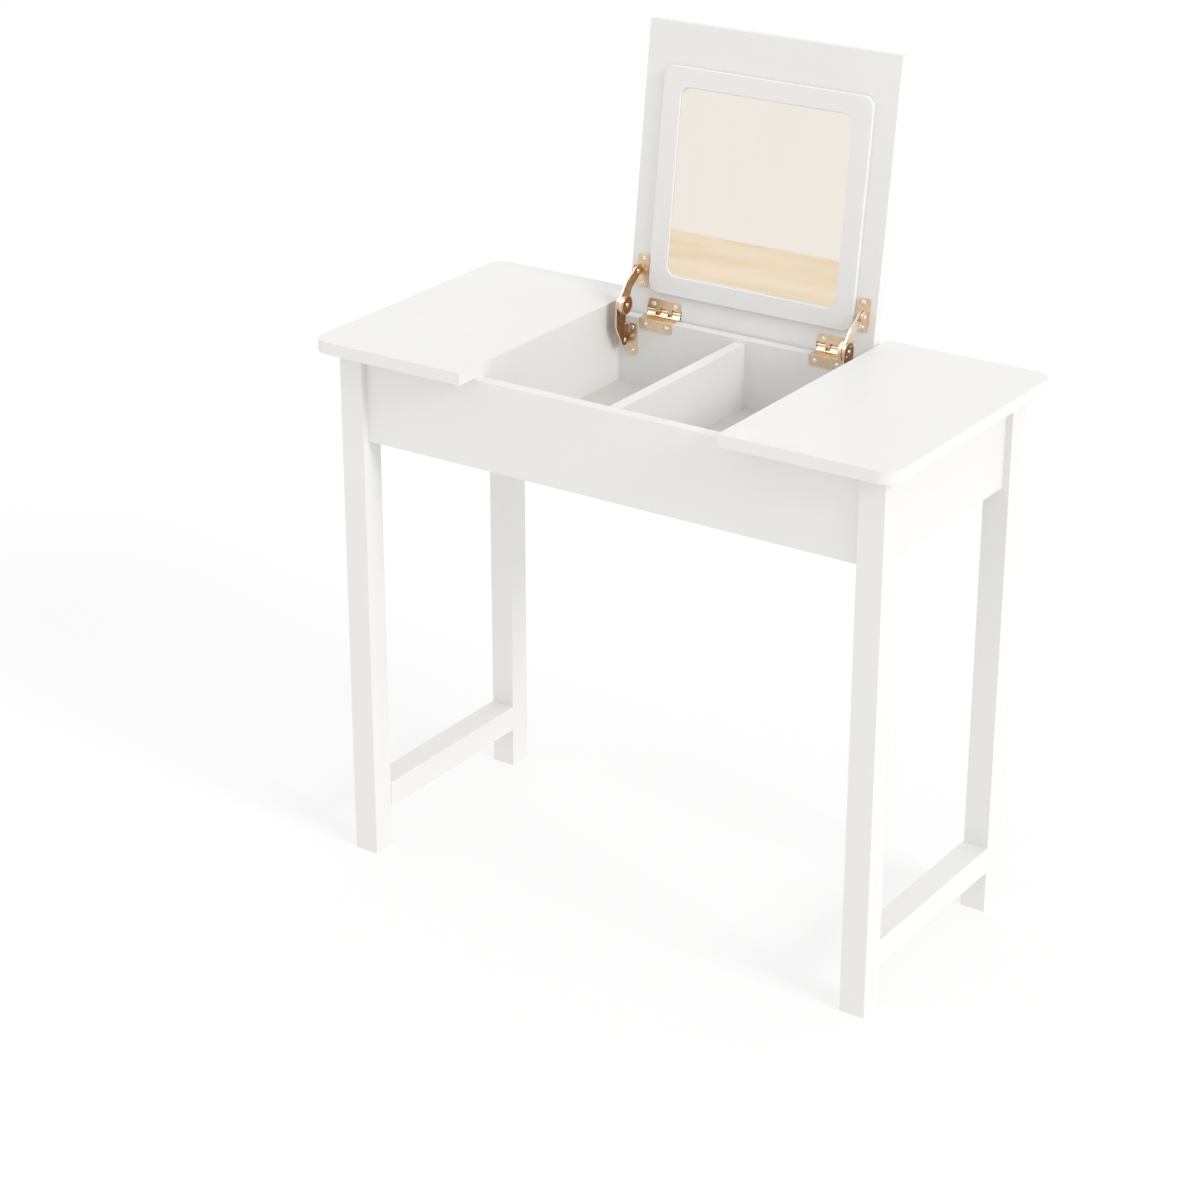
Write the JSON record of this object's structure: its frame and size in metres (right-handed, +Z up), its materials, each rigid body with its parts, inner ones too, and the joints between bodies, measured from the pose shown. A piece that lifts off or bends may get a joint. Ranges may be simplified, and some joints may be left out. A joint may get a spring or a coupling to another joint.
{
  "type": "vanity table",
  "caption": "Small white vanity table whose hinged middle top lifts up on friction stays to show a framed mirror over two compartments.",
  "frame": {"origin": "on the floor, midway between the sides, and midway between the top's front edge and the open lid's rearmost edge", "axes": "+X to the sitter's right, +Y to the back, +Z up"},
  "size_m": [0.63, 0.3282, 0.8204],
  "materials": {
    "paint": "satin white paint over board and solid wood",
    "bronze": "antique bronze plating, darker in the corners",
    "screws": "bright nickel plating",
    "mirror": "plain silvered glass",
    "raw_wood": "plain planed beech"
  },
  "bodies": {
    "table": {"left_top": "paint", "right_top": "paint", "front_rail": "paint", "back_rail": "paint", "left_side_rail": "paint", "right_side_rail": "paint", "left_front_leg": "paint", "right_front_leg": "paint", "left_back_leg": "paint", "right_back_leg": "paint", "left_stretcher": "paint", "right_stretcher": "paint", "left_partition": "paint", "right_partition": "paint", "divider": "paint", "compartment_floor": "paint", "left_front_block": "raw_wood", "right_front_block": "raw_wood", "left_back_block": "raw_wood", "right_back_block": "raw_wood", "leg_bolts": "screws", "top_screws": "screws", "floor_screws": "screws", "rail_dowels": "raw_wood", "stretcher_dowels": "raw_wood", "compartment_dowels": "raw_wood", "top_dowels": "raw_wood", "left_hinge_rail_leaf": "bronze", "right_hinge_rail_leaf": "bronze", "left_hinge_pin": "bronze", "right_hinge_pin": "bronze", "left_stay_rail_bracket": "bronze", "right_stay_rail_bracket": "bronze", "left_stay_rail_rivet": "bronze", "right_stay_rail_rivet": "bronze", "hinge_rail_screws": "screws", "stay_rail_screws": "screws"},
    "lid": {"lid_panel": "paint", "mirror_frame": "paint", "mirror_glass": "mirror", "left_hinge_lid_leaf": "bronze", "right_hinge_lid_leaf": "bronze", "left_stay_lid_bracket": "bronze", "right_stay_lid_bracket": "bronze", "left_stay_lid_rivet": "bronze", "right_stay_lid_rivet": "bronze", "hinge_lid_screws": "screws", "stay_lid_screws": "screws"},
    "left_lower_arm": {"left_lower_arm": "bronze", "left_friction_drum": "bronze", "left_knee_rivet": "bronze"},
    "left_upper_arm": {"left_upper_arm": "bronze"},
    "right_lower_arm": {"right_lower_arm": "bronze", "right_friction_drum": "bronze", "right_knee_rivet": "bronze"},
    "right_upper_arm": {"right_upper_arm": "bronze"}
  },
  "joints": [
    {"name": "lid_hinge", "type": "hinge", "parent": "table", "child": "lid", "pos_m": [0, 0.1183, 0.54], "axis": [1, 0, 0], "range_deg": [0, 97.3]},
    {"name": "left_lower_arm_pivot", "type": "hinge", "parent": "table", "child": "left_lower_arm", "pos_m": [-0.125, 0.0926, 0.5125], "axis": [1, 0, 0], "range_deg": [0, 97.3]},
    {"name": "left_upper_arm_pivot", "type": "hinge", "parent": "lid", "child": "left_upper_arm", "pos_m": [-0.125, 0.11284, 0.57846], "axis": [1, 0, 0], "range_deg": [-97.3, 0]},
    {"name": "right_lower_arm_pivot", "type": "hinge", "parent": "table", "child": "right_lower_arm", "pos_m": [0.125, 0.0926, 0.5125], "axis": [1, 0, 0], "range_deg": [0, 97.3]},
    {"name": "right_upper_arm_pivot", "type": "hinge", "parent": "lid", "child": "right_upper_arm", "pos_m": [0.125, 0.11284, 0.57846], "axis": [1, 0, 0], "range_deg": [-97.3, 0]}
  ],
  "couplings": [
    {"joint": "left_lower_arm_pivot", "follows": "lid_hinge", "ratio": 1},
    {"joint": "left_upper_arm_pivot", "follows": "lid_hinge", "ratio": -1},
    {"joint": "right_lower_arm_pivot", "follows": "lid_hinge", "ratio": 1},
    {"joint": "right_upper_arm_pivot", "follows": "lid_hinge", "ratio": -1}
  ]
}
